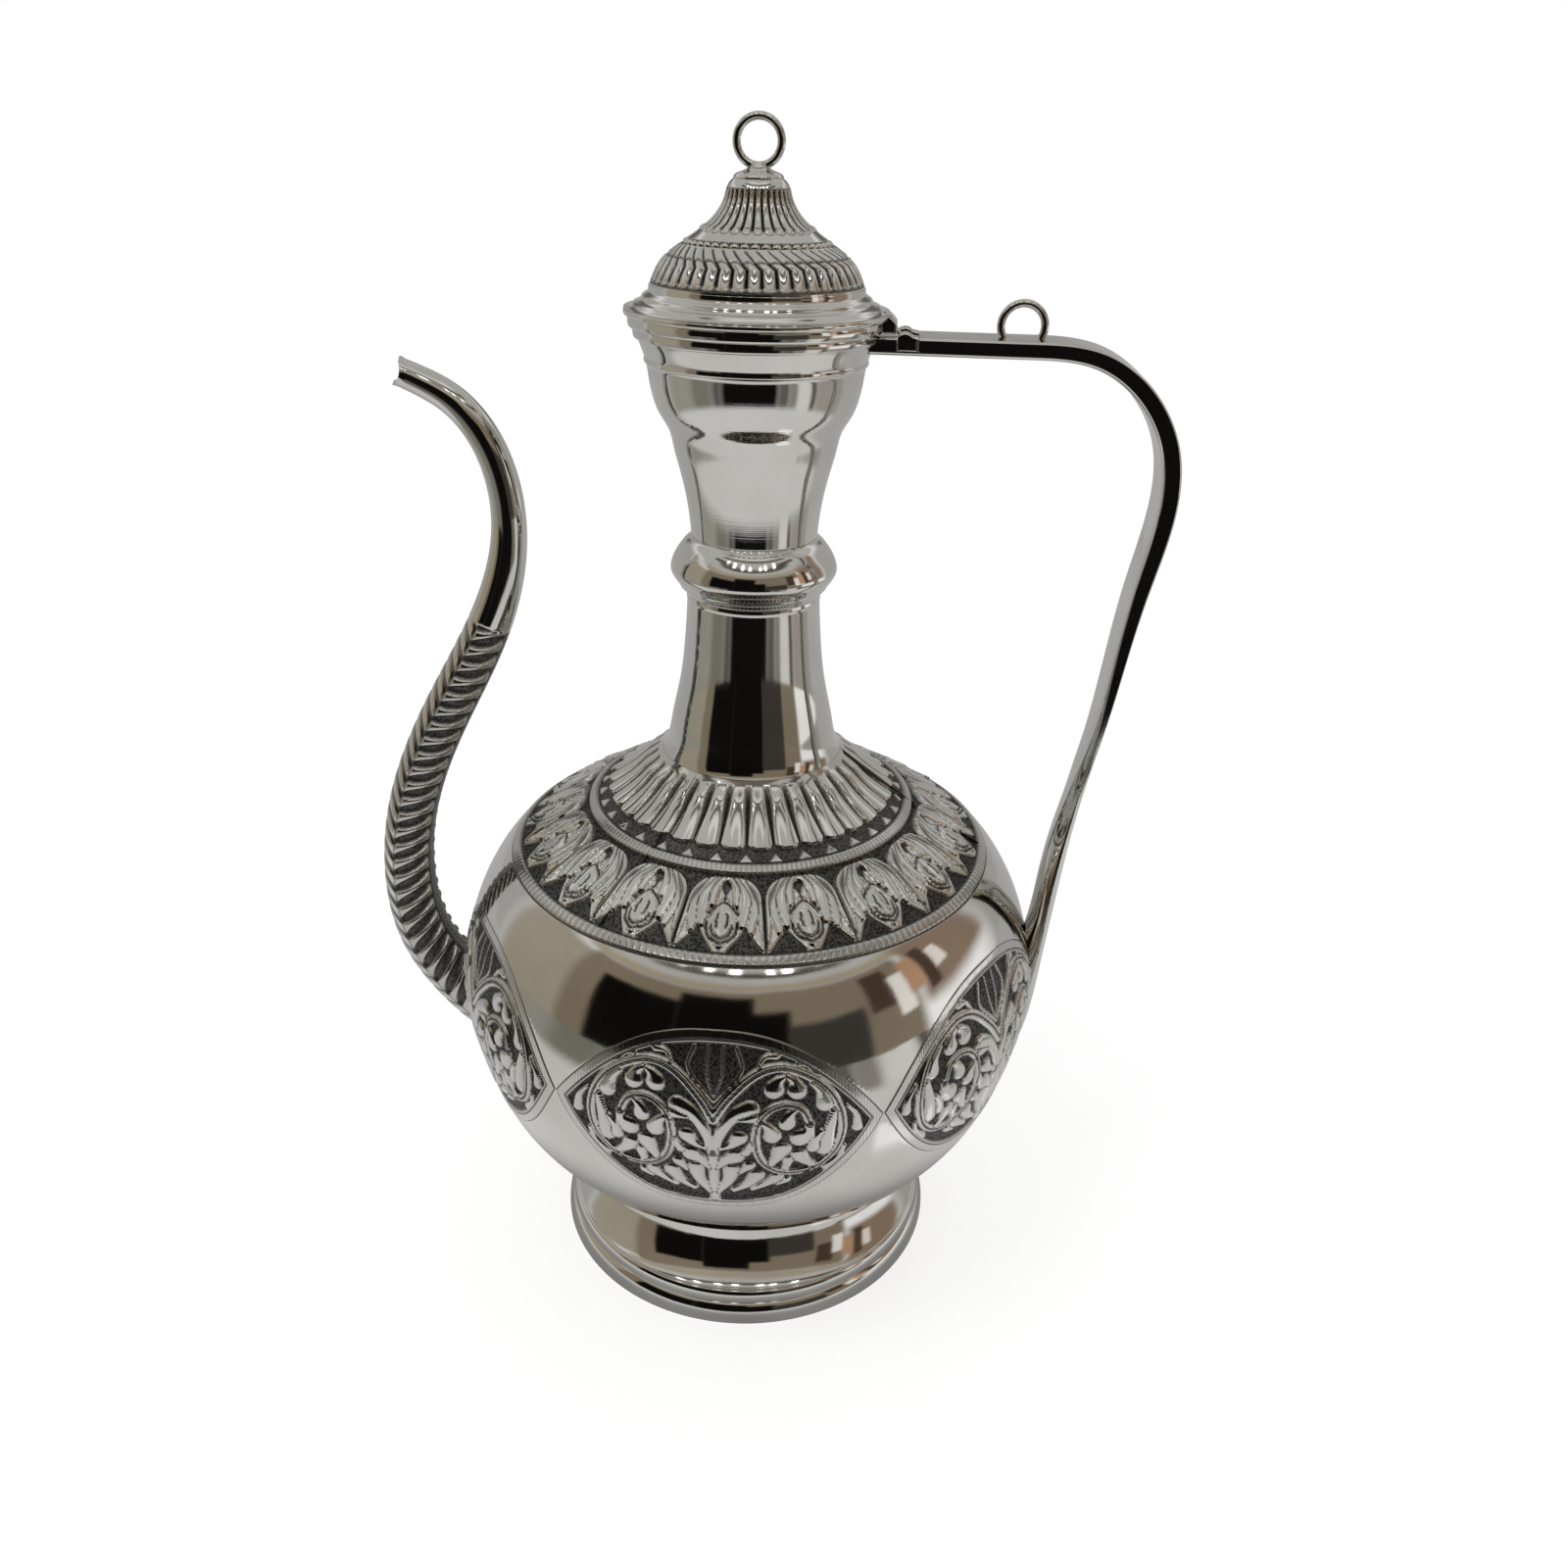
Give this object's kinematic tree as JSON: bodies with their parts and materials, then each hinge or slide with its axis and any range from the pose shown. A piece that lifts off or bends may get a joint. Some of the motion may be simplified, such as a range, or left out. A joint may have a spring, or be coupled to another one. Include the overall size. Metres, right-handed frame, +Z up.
{
  "type": "coffee pot",
  "caption": "Silver-coloured dallah coffee pot with a round chased belly, waisted neck, hinged domed lid, S-shaped spout and strap handle, for serving coffee.",
  "frame": {"origin": "on the pot's axis, in the plane that the foot stands on", "axes": "+Z up along the pot's axis, +X from the axis towards the handle, so the spout is on the -X side"},
  "size_m": [0.2027, 0.1574, 0.3006],
  "materials": {
    "polished_silver": "silver-plated brass, polished bright",
    "chased_silver": "silver-plated brass, chased and darkened in the recesses"
  },
  "bodies": {
    "pot": {"foot_base_ring": "polished_silver", "foot_pedestal": "polished_silver", "body_lower_bowl": "chased_silver", "body_upper_shoulder": "chased_silver", "neck_trumpet": "polished_silver", "neck_collar": "polished_silver", "neck_cup": "polished_silver", "mouth_rim": "polished_silver", "spout_tube": "chased_silver", "spout_tip": "polished_silver", "handle": "polished_silver", "handle_ring": "polished_silver", "hinge_lug_front": "polished_silver", "hinge_lug_back": "polished_silver", "hinge_pin": "polished_silver"},
    "lid": {"lid_brim": "polished_silver", "lid_bezel": "polished_silver", "lid_dome": "chased_silver", "lid_bell": "chased_silver", "lid_finial_cap": "polished_silver", "lid_finial_ring": "polished_silver", "lid_hinge_leaf": "polished_silver"}
  },
  "joints": [
    {"name": "lid_hinge", "type": "hinge", "parent": "pot", "child": "lid", "pos_m": [0.0338, 0, 0.255], "axis": [0, 1, 0], "range_deg": [0, 95]}
  ]
}
